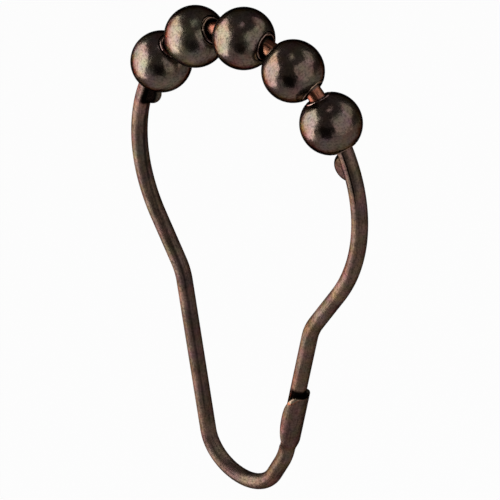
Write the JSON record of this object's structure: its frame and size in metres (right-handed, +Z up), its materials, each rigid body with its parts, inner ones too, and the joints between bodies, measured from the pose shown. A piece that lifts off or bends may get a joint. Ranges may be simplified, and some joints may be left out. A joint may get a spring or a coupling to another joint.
{
  "type": "shower curtain hook",
  "caption": "Pear-shaped spring-wire curtain hook with hollow roller balls on its crown, small ears that keep them there and a safety-pin catch low on one leg.",
  "frame": {"origin": "centre of the bend of the crown, which is where the curtain rod's axis passes", "axes": "+Z up, from the eyelet's seat to the crown; +Y along the curtain rod, towards the back of the picture; +X across the loop, towards the leg with the catch"},
  "size_m": [0.0402, 0.0084, 0.0794],
  "materials": {
    "spring_wire": "oil-rubbed bronze plating over steel spring wire, softly polished",
    "roller_ball": "oil-rubbed bronze plating over pressed steel, polished"
  },
  "bodies": {
    "hook": {"wire_hook": "spring_wire"},
    "roller_1": {"roller_ball_1": "roller_ball"},
    "roller_2": {"roller_ball_2": "roller_ball"},
    "roller_3": {"roller_ball_3": "roller_ball"},
    "roller_4": {"roller_ball_4": "roller_ball"},
    "roller_5": {"roller_ball_5": "roller_ball"}
  },
  "joints": [
    {"name": "roller_1_spin", "type": "hinge", "parent": "hook", "child": "roller_1", "pos_m": [-0.01499, 0, 0.00613], "axis": [0.5201, 0, 0.8541], "continuous": true},
    {"name": "roller_2_spin", "type": "hinge", "parent": "hook", "child": "roller_2", "pos_m": [-0.00916, 0, 0.0125], "axis": [0.8098, 0, 0.5867], "continuous": true},
    {"name": "roller_3_spin", "type": "hinge", "parent": "hook", "child": "roller_3", "pos_m": [-0.00094, 0, 0.01545], "axis": [0.9981, 0, 0.061], "continuous": true},
    {"name": "roller_4_spin", "type": "hinge", "parent": "hook", "child": "roller_4", "pos_m": [0.00734, 0, 0.01363], "axis": [0.8803, 0, -0.4744], "continuous": true},
    {"name": "roller_5_spin", "type": "hinge", "parent": "hook", "child": "roller_5", "pos_m": [0.01379, 0, 0.00793], "axis": [0.5917, 0, -0.8062], "continuous": true}
  ]
}
